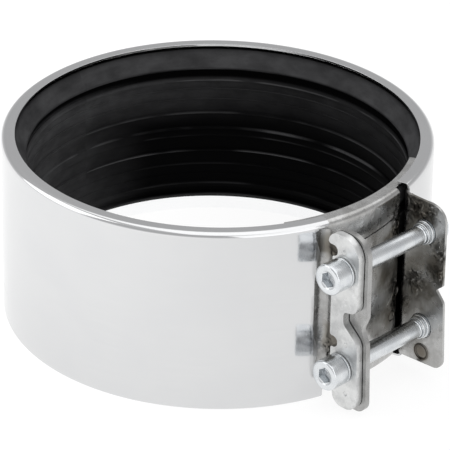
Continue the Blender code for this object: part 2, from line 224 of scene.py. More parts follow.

# ---------------------------------------------------------------- welds, heat tint and painted shade
# A heat spot or a spot of painted shade is its place and its reach; a weld on the bridging plate is azimuth
# and height
LEFT_HEAT = (
    ((92.0, LEFT_LUG_GAP_Y, 58.0), 14.0),
    ((92.0, LEFT_LUG_GAP_Y, 30.0), 14.0),
    ((90.0, -27.0, 70.0), 12.0),
)
# Spots of painted shade and painted dark reflection on the left lug: high on its gap side and low on its
# bend
LEFT_SHADE_SPOTS = (
    ((94.0, LEFT_LUG_GAP_Y, 70.0), 10.0),
    ((90.0, -27.0, 24.0), 8.0),
)
PLUG_WELD = (99.0, RIGHT_LUG_GAP_Y, 8.6)
PLUG_WELD_RADIUS = 3.3
RIGHT_HEAT = (
    ((94.0, RIGHT_LUG_GAP_Y, 72.0), 15.0),
    ((106.0, RIGHT_LUG_GAP_Y, 50.0), 11.0),
    ((98.0, RIGHT_LUG_GAP_Y, 35.0), 13.0),
    (PLUG_WELD, 7.0),
)
# Spots of painted shade and painted dark reflection of the gap on the right lug's near face
RIGHT_SHADE_SPOTS = (
    ((92.0, RIGHT_LUG_GAP_Y, 74.0), 11.0),
    ((99.0, RIGHT_LUG_GAP_Y, 72.5), 10.0),
    ((107.0, RIGHT_LUG_GAP_Y, 57.0), 9.0),
    ((104.5, RIGHT_LUG_GAP_Y, 47.0), 9.0),
    ((94.0, RIGHT_LUG_GAP_Y, 41.0), 9.0),
    ((99.5, RIGHT_LUG_GAP_Y, 3.6), 4.5),
)
SPOT_WELDS = ((11.1, 63.9), (12.4, 32.2), (10.6, 21.7))
SPOT_WELD_RADIUS = 2.1
BRIDGE_HEAT_DEG = 9.0
BRIDGE_HEAT_HEIGHTS = (26.0, 42.0, 56.0)
BRIDGE_HEAT_REACH = 15.0
# Painted shade on the bridging plate's wall beside the slot and under the rim pieces' free edges
BRIDGE_SHADE_DEG = 11.5
BRIDGE_SHADE_HEIGHTS = (28.0, 36.0, 62.0, 69.0)
BRIDGE_SHADE_REACH = 8.0

# ---------------------------------------------------------------- screws and nuts
HEAD_RADIUS = 6.5
HEAD_LENGTH = 8.0
SHANK_LENGTH = 60.0
PLAIN_LENGTH = 44.0
PLAIN_RADIUS = 3.95
THREAD_MAJOR = 3.95
THREAD_MINOR = 3.68
THREAD_PITCH = 1.25
SOCKET_APOTHEM = 3.0
SOCKET_DEPTH = 4.0
WASHER_RADIUS = 6.45
NUT_FLANGE = 3.0
NUT_BORE_RADIUS = 4.05
NUT_BODY_RADIUS = 5.2


# ================================================================ mesh helpers
def add_mesh(name, mesh_data):
    obj = bpy.data.objects.new(name, mesh_data)
    bpy.context.scene.collection.objects.link(obj)
    return obj


def smooth(obj, angle_deg=35.0):
    obj.data.shade_smooth()
    obj.data.set_sharp_from_angle(angle=math.radians(angle_deg))


def object_of(name, points, faces, angle_deg=35.0):
    """An object from points in millimetres and faces of point indices."""
    data = bpy.data.meshes.new(name)
    data.from_pydata([(x * MM, y * MM, z * MM) for x, y, z in points], [], faces)
    data.validate()
    obj = add_mesh(name, data)
    smooth(obj, angle_deg)
    return obj


def add_sheet(obj, thickness):
    modifier = obj.modifiers.new("Sheet", "SOLIDIFY")
    modifier.thickness = thickness * MM
    modifier.offset = -1.0
    modifier.use_even_offset = True


def soften(obj, width, segments=3, angle_deg=40.0):
    modifier = obj.modifiers.new("Soft edges", "BEVEL")
    modifier.width = width * MM
    modifier.segments = segments
    modifier.limit_method = "ANGLE"
    modifier.angle_limit = math.radians(angle_deg)
    modifier.harden_normals = True


def arc(centre, radius, from_deg, to_deg, count):
    """Points on an arc, both ends included."""
    angles = [math.radians(from_deg + (to_deg - from_deg) * i / count) for i in range(count + 1)]
    return [(centre[0] + radius * math.cos(a), centre[1] + radius * math.sin(a)) for a in angles]


def rounded_outline(corners, step_deg=7.0):
    """Points of a polygon whose corners (x, z, radius) are rounded by arcs."""
    points = []
    for index, (x, z, radius) in enumerate(corners):
        corner = Vector((x, z))
        if radius == 0.0:
            points.append(corner)
            continue
        before = (Vector(corners[index - 1][:2]) - corner).normalized()
        after = (Vector(corners[(index + 1) % len(corners)][:2]) - corner).normalized()
        half = before.angle(after) / 2.0
        centre = corner + (before + after).normalized() * (radius / math.sin(half))
        start = corner + before * (radius / math.tan(half)) - centre
        turn = start.angle_signed(corner + after * (radius / math.tan(half)) - centre)
        count = max(3, round(abs(math.degrees(turn)) / step_deg))
        for step in range(count + 1):
            angle = -turn * step / count
            cos, sin = math.cos(angle), math.sin(angle)
            points.append(centre + Vector((start.x * cos - start.y * sin, start.x * sin + start.y * cos)))
    return points


def smooth_step(value, low, high):
    t = min(1.0, max(0.0, (value - low) / (high - low)))
    return t * t * (3.0 - 2.0 * t)


def lathe(name, rings, columns, place=None, angle_deg=35.0):
    """A closed turned body. Each ring is (height, radius), and a radius may be a function of the angle.

    Rings run from one end to the other along local Z; both ends are closed by a fan.
    """
    points, faces = [], []
    for height, radius in rings:
        for column in range(columns):
            angle = 2.0 * math.pi * column / columns
            reach = radius(angle) if callable(radius) else radius
            points.append((reach * math.cos(angle), reach * math.sin(angle), height))
    for row in range(len(rings) - 1):
        for column in range(columns):
            following = (column + 1) % columns
            lower, upper = row * columns, (row + 1) * columns
            faces.append((lower + column, lower + following, upper + following, upper + column))
    for ring, flip in ((0, True), (len(rings) - 1, False)):
        points.append((0.0, 0.0, rings[ring][0]))
        centre = len(points) - 1
        for column in range(columns):
            first, second = ring * columns + column, ring * columns + (column + 1) % columns
            faces.append((second, first, centre) if flip else (first, second, centre))
    return placed(object_of(name, points, faces, angle_deg), place)


def ring_body(name, loop, columns, place=None, angle_deg=35.0):
    """A ring: a closed loop of (radius, height) points turned all the way round local Z."""
    points, faces = [], []
    for column in range(columns):
        angle = 2.0 * math.pi * column / columns
        points += [(r * math.cos(angle), r * math.sin(angle), z) for r, z in loop]
    size = len(loop)
    for column in range(columns):
        here, there = column * size, (column + 1) % columns * size
        for row in range(size):
            following = (row + 1) % size
            faces.append((here + row, there + row, there + following, here + following))
    return placed(object_of(name, points, faces, angle_deg), place)


def placed(obj, place):
    if place is not None:
        obj.matrix_world = place
    bpy.context.view_layer.update()
    return obj


def band(name, profile, limits, columns, thickness, edge, angle_deg=35.0):
    """A part-turn sheet: (radius, height) stations, each swept between its own two azimuths."""
    points, faces = [], []
    for radius, height in profile:
        first, last = limits(radius, height)
        for column in range(columns + 1):
            angle = math.radians(first + (last - first) * column / columns)
            points.append((radius * math.cos(angle), radius * math.sin(angle), height))
    width = columns + 1
    for row in range(len(profile) - 1):
        for column in range(columns):
            here = row * width + column
            faces.append((here, here + width, here + width + 1, here + 1))
    obj = object_of(name, points, faces, angle_deg)
    add_sheet(obj, thickness)
    soften(obj, edge, 2, 50.0)
    return obj


def channel(radius, lip_radius, base, top, corner, wall_rows, extra_heights=(), arc_rows=8):
    """Stations of a U section that opens towards the axis, from its top lip to its bottom lip."""
    inner = radius - corner
    lip_rows = 5
    top_lip = [(lip_radius + (inner - lip_radius) * i / lip_rows, top) for i in range(lip_rows)]
    low_lip = [(r, base) for r, _ in reversed(top_lip)]
    wall_top, wall_low = top - corner, base + corner
    heights = [wall_top + (wall_low - wall_top) * i / wall_rows for i in range(1, wall_rows)]
    wall = [(radius, height) for height in sorted(heights + list(extra_heights), reverse=True)]
    return (
        top_lip
        + arc((inner, wall_top), corner, 90.0, 0.0, arc_rows)
        + wall
        + arc((inner, wall_low), corner, 0.0, -90.0, arc_rows)
        + low_lip
    )


def prism(outline, holes, cuts):
    """A unit-thick prism over a flat pattern in (s, z), cut along the given values of s."""
    mesh = bmesh.new()
    edges = []
    loops = [outline] + holes
    for loop in loops:
        verts = [mesh.verts.new((x, z, 0.0)) for x, z in loop]
        edges += [mesh.edges.new((verts[i - 1], verts[i])) for i in range(len(verts))]
    bmesh.ops.triangle_fill(mesh, use_beauty=True, use_dissolve=False, edges=edges)
    for cut in cuts:
        everything = mesh.verts[:] + mesh.edges[:] + mesh.faces[:]
        bmesh.ops.bisect_plane(mesh, geom=everything, dist=1e-5, plane_co=(cut, 0, 0), plane_no=(1, 0, 0))
    bmesh.ops.recalc_face_normals(mesh, faces=mesh.faces)
    if mesh.faces[0].normal.z < 0:
        bmesh.ops.reverse_faces(mesh, faces=mesh.faces)
    made = bmesh.ops.extrude_face_region(mesh, geom=mesh.faces[:])
    top = [item for item in made["geom"] if isinstance(item, bmesh.types.BMVert)]
    bmesh.ops.translate(mesh, verts=top, vec=(0.0, 0.0, 1.0))
    bmesh.ops.recalc_face_normals(mesh, faces=mesh.faces)
    return mesh


def hole(x, z, radius, count=48):
    return arc((x, z), radius, 0.0, 360.0 * (count - 1) / count, count - 1)


def mapped(name, mesh, mapping, edge, flip=False):
    """Moves a prism's points by mapping(s, z, w) and makes an object of it."""
    for vert in mesh.verts:
        vert.co = Vector(mapping(*vert.co)) * MM
    if flip:
        bmesh.ops.reverse_faces(mesh, faces=mesh.faces)
    bmesh.ops.recalc_face_normals(mesh, faces=mesh.faces)
    data = bpy.data.meshes.new(name)
    mesh.to_mesh(data)
    mesh.free()
    obj = add_mesh(name, data)
    smooth(obj, 30.0)
    soften(obj, edge, 3, 35.0)
    return obj


# ================================================================ materials
class Finish:
    """A Principled material and the few node shapes that the finishes below share."""

    def __init__(self, name, metallic, roughness):
        self.material = bpy.data.materials.new(name)
        self.material.use_nodes = True
        self.tree = self.material.node_tree
        self.shader = self.tree.nodes["Principled BSDF"]
        self.shader.inputs["Metallic"].default_value = metallic
        self.shader.inputs["Roughness"].default_value = roughness
        self.place = self.node("ShaderNodeTexCoord").outputs["Object"]

    def node(self, kind, **settings):
        made = self.tree.nodes.new(kind)
        for key, value in settings.items():
            setattr(made, key, value)
        return made

    def feed(self, socket, value):
        if isinstance(value, bpy.types.NodeSocket):
            self.tree.links.new(value, socket)
        else:
            socket.default_value = value

    def maths(self, operation, *values, clamp=False):
        made = self.node("ShaderNodeMath", operation=operation, use_clamp=clamp)
        for socket, value in zip(made.inputs, values):
            self.feed(socket, value)
        return made.outputs[0]

    def scaled(self, vector, scale):
        made = self.node("ShaderNodeVectorMath", operation="MULTIPLY")
        self.feed(made.inputs[0], vector)
        made.inputs[1].default_value = scale
        return made.outputs[0]

    def noise(self, vector, scale, detail=3.0, rough=0.55):
        made = self.node("ShaderNodeTexNoise")
        self.feed(made.inputs["Vector"], vector)
        made.inputs["Scale"].default_value = scale
        made.inputs["Detail"].default_value = detail
        made.inputs["Roughness"].default_value = rough
        return made.outputs["Fac"]

    def cells(self, vector, scale):
        made = self.node("ShaderNodeTexVoronoi")
        self.feed(made.inputs["Vector"], vector)
        made.inputs["Scale"].default_value = scale
        return made.outputs["Color"]

    def ramp(self, value, low, high, to_low=0.0, to_high=1.0):
        """value mapped smoothly from low..high to to_low..to_high."""
        made = self.node("ShaderNodeMapRange", interpolation_type="SMOOTHSTEP")
        for socket, number in zip(made.inputs, (value, low, high, to_low, to_high)):
            self.feed(socket, number)
        return made.outputs[0]

    def blend(self, share, first, second):
        made = self.node("ShaderNodeMix", data_type="RGBA")
        self.feed(made.inputs["Factor"], share)
        for socket, colour in ((made.inputs[6], first), (made.inputs[7], second)):
            self.feed(socket, (*colour, 1.0) if isinstance(colour, tuple) else colour)
        return made.outputs[2]

    def round_place(self):
        """Place as (arc length, height, radius) round the pipe axis, in metres."""
        parts = self.node("ShaderNodeSeparateXYZ")
        self.feed(parts.inputs[0], self.place)
        angle = self.maths("ARCTAN2", parts.outputs[1], parts.outputs[0])
        made = self.node("ShaderNodeCombineXYZ")
        self.feed(made.inputs[0], self.maths("MULTIPLY", angle, CASING_RADIUS * MM))
        self.feed(made.inputs[1], parts.outputs[2])
        return made.outputs[0]

    def distance(self, spot):
        made = self.node("ShaderNodeVectorMath", operation="DISTANCE")
        self.feed(made.inputs[0], self.place)
        made.inputs[1].default_value = [value * MM for value in spot]
        return made.outputs["Value"]

    def nearness(self, spots):
        """1 at any of the spots, falling to 0 at each spot's own reach; all in millimetres."""
        total = 0.0
        for spot, reach in spots:
            total = self.maths("MAXIMUM", total, self.ramp(self.distance(spot), 0.0, reach * MM, 1.0, 0.0))
        return total

    def ring(self, spot, radius, reach):
        """1 at the given radius round a spot, falling to 0 at reach from it."""
        off = self.maths("ABSOLUTE", self.maths("SUBTRACT", self.distance(spot), radius * MM))
        return self.ramp(off, 0.0, reach * MM, 1.0, 0.0)

    def bump(self, height, distance, strength=1.0, under=None):
        made = self.node("ShaderNodeBump")
        made.inputs["Strength"].default_value = strength
        made.inputs["Distance"].default_value = distance * MM
        self.feed(made.inputs["Height"], height)
        if under is not None:
            self.feed(made.inputs["Normal"], under)
        return made.outputs[0]

    def finish(self, colour, roughness, normal):
        self.feed(self.shader.inputs["Base Color"], colour)
        self.feed(self.shader.inputs["Roughness"], roughness)
        self.feed(self.shader.inputs["Normal"], normal)
        return self.material


def polished_stainless(name, pale):
    """Cold-rolled strip: soft mirror with a fine grain along the strip. pale is its base brightness."""
    make = Finish(name, 1.0, 0.1)
    place = make.round_place()
    grain = make.noise(make.scaled(place, (30.0, 1500.0, 0.0)), 1.0, 4.0, 0.6)
    cloud = make.noise(place, 34.0, 3.0)
    wave = make.noise(make.scaled(place, (22.0, 40.0, 0.0)), 1.0, 1.0, 0.4)
    colour = make.blend(
        grain,
        (pale - 0.02, pale - 0.015, pale - 0.01),
        (pale + 0.02, pale + 0.022, pale + 0.025),
    )
    cloudy = make.ramp(cloud, 0.35, 0.7, 0.0, 0.25)
    colour = make.blend(cloudy, colour, (pale - 0.05, pale - 0.045, pale - 0.03))
    roughness = make.maths(
        "ADD",
        make.ramp(grain, 0.3, 0.7, 0.08, 0.12),
        make.ramp(cloud, 0.3, 0.75, 0.0, 0.03),
    )
    normal = make.bump(wave, 0.05, 0.5)
    normal = make.bump(grain, 0.0008, 0.5, normal)
    make.shader.inputs["Anisotropic"].default_value = 0.3
    return make.finish(colour, roughness, normal)


def tinted_stainless(name, base, welds, shade_spots, rings=()):
    """Dull stainless sheet: brown heat tint round its welds, near-black smudges of painted shade and
    painted dark reflection, and burnt rings.
    """
    make = Finish(name, 1.0, 0.3)
    mottle = make.noise(make.place, 260.0, 4.0, 0.62)
    patch = make.noise(make.place, 85.0, 3.0, 0.6)
    rolled = make.noise(make.scaled(make.place, (900.0, 900.0, 45.0)), 1.0, 3.0, 0.6)
    heat = make.maths("MULTIPLY", make.nearness(welds), make.ramp(patch, 0.3, 0.62, 0.35, 1.0))
    # Near-black smudges at the shade spots: painted shade and painted dark reflection, broken up by noise
    shade_cover = make.maths("MULTIPLY", make.nearness(shade_spots), make.ramp(mottle, 0.36, 0.62, 0.25, 1.0))
    colour = make.blend(
        rolled,
        (base * 0.80, base * 0.795, base * 0.78),
        (base * 1.18, base * 1.18, base * 1.17),
    )
    patchy = make.ramp(patch, 0.42, 0.62, 0.0, 0.55)
    colour = make.blend(patchy, colour, (base * 0.62, base * 0.61, base * 0.59))
    colour = make.blend(make.ramp(heat, 0.08, 0.6, 0.0, 0.75), colour, (0.20, 0.185, 0.155))
    colour = make.blend(make.ramp(heat, 0.5, 0.95, 0.0, 0.65), colour, (0.11, 0.09, 0.068))
    # Paints the near-black shade and dark reflection into the colour
    colour = make.blend(make.ramp(shade_cover, 0.1, 0.8, 0.0, 0.85), colour, (0.035, 0.032, 0.028))
    for spot, radius, reach in rings:
        ring = make.ring(spot, radius, reach)
        colour = make.blend(make.maths("MULTIPLY", ring, 0.9), colour, (0.028, 0.020, 0.014))
    roughness = make.maths(
        "ADD",
        make.ramp(mottle, 0.3, 0.7, 0.22, 0.34),
        make.maths("MULTIPLY", heat, 0.1),
    )
    normal = make.bump(patch, 0.22, 0.7)
    pits = make.noise(make.place, 330.0, 1.0, 0.4)
    dents = make.maths(
        "MULTIPLY",
        make.ramp(pits, 0.40, 0.62),
        make.maths("ADD", make.nearness(shade_spots), 0.06),
    )
    normal = make.bump(dents, 0.55, 0.9, normal)
    normal = make.bump(mottle, 0.03, 0.5, normal)
    return make.finish(colour, roughness, normal)


def galvanised_steel():
    """Press-formed plate under a matt zinc coating, with faint cells and soft pits."""
    make = Finish("galvanised_steel", 1.0, 0.38)
    cells = make.cells(make.place, 420.0)
    cloud = make.noise(make.place, 130.0, 4.0, 0.6)
    fine = make.noise(make.place, 900.0, 3.0, 0.6)
    grey = make.node("ShaderNodeRGBToBW")
    make.feed(grey.inputs[0], cells)
    spangle = make.maths("MULTIPLY", grey.outputs[0], 0.45)
    colour = make.blend(spangle, (0.70, 0.705, 0.70), (0.84, 0.845, 0.84))
    colour = make.blend(make.ramp(cloud, 0.42, 0.66, 0.0, 0.7), colour, (0.50, 0.505, 0.505))
    roughness = make.ramp(fine, 0.25, 0.75, 0.26, 0.42)
    normal = make.bump(cloud, 0.22, 0.6)
    normal = make.bump(fine, 0.02, 0.6, normal)
    return make.finish(colour, roughness, normal)


def bright_zinc():
    """Zinc-plated screws, washers and nuts: bright satin with faint handling marks."""
    make = Finish("bright_zinc", 1.0, 0.24)
    turned = make.noise(make.scaled(make.place, (60.0, 60.0, 1600.0)), 1.0, 3.0, 0.6)
    cloud = make.noise(make.place, 170.0, 4.0, 0.6)
    colour = make.blend(make.ramp(cloud, 0.35, 0.7), (0.74, 0.76, 0.775), (0.64, 0.665, 0.69))
    roughness = make.maths(
        "ADD",
        make.ramp(turned, 0.3, 0.7, 0.20, 0.28),
        make.ramp(cloud, 0.4, 0.8, 0.0, 0.08),
    )
    normal = make.bump(turned, 0.006, 0.6)
    normal = make.bump(cloud, 0.02, 0.5, normal)
    return make.finish(colour, roughness, normal)


def black_rubber():
    """Moulded rubber: nearly black, darker than bare rubber as painted shade deep in the bore; grey with
    talc dust and painted light on its upper cone and flank, with painted highlights on its ridges and
    painted light on one side of the bore.
    """
    make = Finish("black_rubber", 0.0, 0.6)
    place = make.round_place()
    streak = make.noise(make.scaled(place, (70.0, 190.0, 0.0)), 1.0, 5.0, 0.62)
    broken = make.noise(make.scaled(place, (26.0, 90.0, 0.0)), 1.0, 2.0, 0.5)
    cloud = make.noise(place, 28.0, 3.0, 0.55)
    fine = make.noise(make.place, 2200.0, 2.0, 0.6)
    parts = make.node("ShaderNodeSeparateXYZ")
    make.feed(parts.inputs[0], make.place)
    height = parts.outputs[2]

    def at_height(limits, to_low=0.0, to_high=1.0):
        return make.ramp(height, limits[0] * MM, limits[1] * MM, to_low, to_high)

    # How far a point lies towards the side with painted light
    side = make.maths(
        "ADD",
        make.maths("MULTIPLY", parts.outputs[0], PAINTED_LIGHT_SIDE[0]),
        make.maths("MULTIPLY", parts.outputs[1], PAINTED_LIGHT_SIDE[1]),
    )
    # Cone and flank: grey of talc dust and painted light, with painted shade on the cone under the rim
    cone = make.maths("MULTIPLY", at_height(CONE_DUST_AND_LIGHT), at_height(CONE_RIM_SHADE, 0.2, 1.0))
    flank = make.maths("MULTIPLY", at_height(FLANK_DUST_AND_LIGHT), at_height(FLANK_FADE))
    # The flank's grey is stronger on that side: painted light
    flank = make.maths("MULTIPLY", flank, make.ramp(side, -0.03, 0.06, 0.32, 0.95))
    # Painted light on that side of the bore, below the flank's top
    low = make.maths("MULTIPLY", make.ramp(side, 0.028, 0.072, 0.0, 0.75), at_height(LOW_FADE))
    dust_and_light = make.maths("MAXIMUM", make.maths("MAXIMUM", cone, flank), low)
    dust_and_light = make.maths("MULTIPLY", dust_and_light, make.ramp(streak, 0.30, 0.70, 0.72, 1.15))
    dust_and_light = make.maths("MULTIPLY", dust_and_light, make.ramp(cloud, 0.30, 0.65, 0.75, 1.15))
    # Painted highlights along the edges of the lips and ribs
    ridge_highlight = 0.0
    for level, share in RIDGE_HIGHLIGHTS:
        off = make.maths("ABSOLUTE", make.maths("SUBTRACT", height, level * MM))
        ridge_highlight = make.maths("MAXIMUM", ridge_highlight, make.ramp(off, 0.0, RIDGE_HIGHLIGHT_REACH * MM, share, 0.0))
    ridge_highlight = make.maths("MULTIPLY", ridge_highlight, make.ramp(broken, 0.38, 0.62, 0.05, 1.5))
    dust_and_light = make.maths("MAXIMUM", dust_and_light, ridge_highlight)
    cover = make.maths("MULTIPLY", dust_and_light, 0.85, clamp=True)
    # Bare colour far darker than rubber: painted shade deep in the bore; the grey is talc and painted light
    colour = make.blend(cover, (0.0009, 0.0009, 0.0011), (0.062, 0.062, 0.064))
    roughness = make.ramp(dust_and_light, 0.0, 0.7, 0.55, 0.85)
    normal = make.bump(streak, 0.05, 0.4)
    normal = make.bump(fine, 0.015, 0.4, normal)
    make.shader.inputs["Specular IOR Level"].default_value = 0.02
    return make.finish(colour, roughness, normal)


# ================================================================ pieces
def dress(obj, material, node, body="clamp"):
    obj.data.materials.append(material)
    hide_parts(node)
    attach(obj, body)
    return obj


def casing_limits(radius, height):
    """Start and end azimuth of the casing at one station: the rims run further than the wall."""
    below_top = smooth_step(height, STEP_HEIGHTS[-1], STEP_HEIGHTS[0])
    below_low = 1.0 - smooth_step(height, *LOW_STEP)
    start = WALL_START_DEG + (RIM_START_DEG - WALL_START_DEG) * max(below_top, below_low)
    footless_low, footless_high = FOOTLESS_HEIGHT - FOOTLESS_BLEND, FOOTLESS_HEIGHT + FOOTLESS_BLEND
    footless = 1.0 - smooth_step(height, footless_low, footless_high)
    at_rim = smooth_step(height, HEIGHT - RIM_STEP_DEPTHS[0], HEIGHT - RIM_STEP_DEPTHS[1])
    end = WALL_END_DEG + (RIM_END_DEG - WALL_END_DEG) * at_rim
    end += (FOOTLESS_END_DEG - WALL_END_DEG) * footless
    for screw_z in SCREW_Z:
        near = max(0.0, 1.0 - abs(height - screw_z - LOBE_RISE) / LOBE_REACH)
        end += LOBE_DEG * smooth_step(near, 0.0, 1.0) * (1.0 - footless)
    return start, end + 360.0


def make_casing(steel):
    extra = STEP_HEIGHTS + (FOOTLESS_HEIGHT + FOOTLESS_BLEND, FOOTLESS_HEIGHT - FOOTLESS_BLEND)
    profile = channel(CASING_RADIUS, CASING_LIP_RADIUS, 0.0, HEIGHT, CASING_CORNER, 64, extra)
    casing = band("casing_shell", profile, casing_limits, 360, CASING_SHEET, 0.22)
    dress(casing, steel, "casing_band")


def strip_share(azimuth):
    """0 where the rim piece comes out from under the left lug, 1 at the slot."""
    return min(1.0, max(0.0, (azimuth - STRIP_START_DEG) / (STRIP_END_DEG - STRIP_START_DEG)))


def strip_edge(azimuth):
    """Depth below the rim of the free edge of a rim piece: straight, then a round corner."""
    edge = STRIP_EDGE_START + (STRIP_EDGE_END - STRIP_EDGE_START) * strip_share(azimuth)
    past = min(1.0, max(0.0, (azimuth - STRIP_END_DEG + STRIP_CORNER_DEG) / STRIP_CORNER_DEG))
    return edge - STRIP_CORNER_RISE * (1.0 - math.sqrt(1.0 - past * past))


def grid_object(name, columns, rows, place, outward):
    """A sheet of columns x rows quads whose points are place(column, row)."""
    points = [place(column, row) for column in range(columns + 1) for row in range(rows + 1)]
    faces = []
    for column in range(columns):
        for row in range(rows):
            here = column * (rows + 1) + row
            face = (here, here + 1, here + rows + 2, here + rows + 1)
            faces.append(face if outward else face[::-1])
    return object_of(name, points, faces)


def make_bridge_wall(steel):
    """The upright sheet behind the slot, a hair short of the free edges of the rim pieces."""
    columns, rows = 96, 40

    def place(column, row):
        azimuth = BRIDGE_START_DEG + (BRIDGE_WALL_END_DEG - BRIDGE_START_DEG) * column / columns
        gap = STRIP_GAP_START + (STRIP_GAP_END - STRIP_GAP_START) * strip_share(azimuth)
        depth = strip_edge(azimuth) + gap
        height = depth + (HEIGHT - 2.0 * depth) * row / rows
        angle = math.radians(azimuth)
        return BRIDGE_RADIUS * math.cos(angle), BRIDGE_RADIUS * math.sin(angle), height

    wall = grid_object("bridging_sheet", columns, rows, place, False)
    add_sheet(wall, BRIDGE_SHEET)
    soften(wall, 0.15, 2, 50.0)
    dress(wall, steel, "bridging_plate")


def make_rim_piece(name, upper, steel):
    """A lip, a corner and a flange over the wall."""
    outer = BRIDGE_RADIUS + STRIP_PROUD
    corner = BRIDGE_CORNER + STRIP_PROUD
    inner = outer - corner
    lip_rows = 4
    lip_reach = inner - BRIDGE_LIP_RADIUS
    lip = [(BRIDGE_LIP_RADIUS + lip_reach * i / lip_rows, BRIDGE_BASE) for i in range(lip_rows)]
    stations = lip + arc((inner, BRIDGE_BASE + corner), corner, -90.0, 0.0, 8)
    columns, free_rows = 72, 14
    rows = len(stations) - 1 + free_rows

    def place(column, row):
        azimuth = BRIDGE_START_DEG + (STRIP_END_DEG - BRIDGE_START_DEG) * column / columns
        if row < len(stations):
            radius, depth = stations[row]
        else:
            lowest = stations[-1][1]
            share = (row - len(stations) + 1) / free_rows
            radius, depth = outer, lowest + (strip_edge(azimuth) - lowest) * share
        angle = math.radians(azimuth)
        return radius * math.cos(angle), radius * math.sin(angle), HEIGHT - depth if upper else depth

    piece = grid_object(name, columns, rows, place, upper)
    add_sheet(piece, STRIP_SHEET)
    soften(piece, 0.2, 2, 50.0)
    finish_extra(piece, steel)


def make_tongue(name, upper, steel):
    """The lip that runs on under the casing's rim, past the slot."""
    columns, rows = 40, 4
    depth = BRIDGE_BASE + TONGUE_DROP
    far_radius = BRIDGE_RADIUS - BRIDGE_CORNER
    first_deg = STRIP_END_DEG - TONGUE_OVERLAP_DEG
    turn_deg = BRIDGE_TONGUE_END_DEG - STRIP_END_DEG

    def place(column, row):
        angle = math.radians(first_deg + turn_deg * column / columns)
        radius = BRIDGE_LIP_RADIUS + (far_radius - BRIDGE_LIP_RADIUS) * row / rows
        return radius * math.cos(angle), radius * math.sin(angle), HEIGHT - depth if upper else depth

    tongue = grid_object(name, columns, rows, place, upper)
    add_sheet(tongue, STRIP_SHEET)
    soften(tongue, 0.15, 2, 50.0)
    finish_extra(tongue, steel)


def finish_extra(obj, steel):
    """A piece of the bridging plate that stands for no node of its own."""
    obj.data.materials.append(steel)
    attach(obj, "clamp")


def make_bridge(steel):
    make_bridge_wall(steel)
    for side, upper in (("upper", True), ("lower", False)):
        make_rim_piece(f"{side}_rim_piece", upper, steel)
        make_tongue(f"{side}_tongue", upper, steel)


def soft_rib(depth):
    """A low rib on the plain bore."""
    return arc((BORE_RADIUS - 0.12, depth), 0.3, 215.0, 145.0, 3)


def bore_half():
    """(radius, depth) of the lips, ribs and stop that both halves of the bore share."""
    return (
        [(79.75, 9.2)]
        + arc((79.9, 9.75), 0.45, -130.0, -250.0, 5)
        + [(80.9, 10.5), (80.95, 12.0)]
        + arc((80.3, 12.7), 0.55, 70.0, 130.0, 3)
        + arc((79.95, 15.3), 0.5, -160.0, -230.0, 5)
        + [(80.35, 16.6), (80.4, 17.0)]
        + [(BORE_RADIUS, 19.1)]
        + soft_rib(SOFT_RIB_DEPTHS[0])
        + [(BORE_RADIUS, 20.0), (BORE_RADIUS, 24.1)]
        + soft_rib(SOFT_RIB_DEPTHS[1])
        + [(BORE_RADIUS, 25.0), (BORE_RADIUS, 30.6)]
        + arc((80.1, 31.3), 0.5, 215.0, 145.0, 5)
        + [(80.45, 32.0), (80.5, 37.8), (80.0, 38.6), (79.7, 38.75), (79.6, 39.2)]
    )


def make_sleeve(rubber):
    """A turned ring with two flat ends. The upper end is nearer its rim than the lower one."""
    upper_end = SLEEVE_HIGH.z
    outer = [
        (LOWER_MOUTH_RADIUS, SLEEVE_LOW.z),
        (SLEEVE_HIGH.x - SLEEVE_CHAMFER, SLEEVE_LOW.z),
        (SLEEVE_HIGH.x, SLEEVE_LOW.z + SLEEVE_CHAMFER),
        (SLEEVE_HIGH.x, upper_end - SLEEVE_CHAMFER),
        (SLEEVE_HIGH.x - SLEEVE_CHAMFER, upper_end),
        (UPPER_MOUTH_RADIUS, upper_end),
        (UPPER_MOUTH_RADIUS - 0.1, upper_end - 0.1),
    ]
    half = bore_half()
    upper = [(radius, HEIGHT - depth) for radius, depth in half]
    lower = list(reversed(half)) + [
        (LOWER_MOUTH_RADIUS - 0.5, SLEEVE_LOW.z + 0.25),
        (LOWER_MOUTH_RADIUS - 0.3, SLEEVE_LOW.z + 0.05),
    ]
    sleeve = ring_body("rubber_sleeve", outer + upper + lower, 300, None, 28.0)
    dress(sleeve, rubber, "sealing_sleeve")


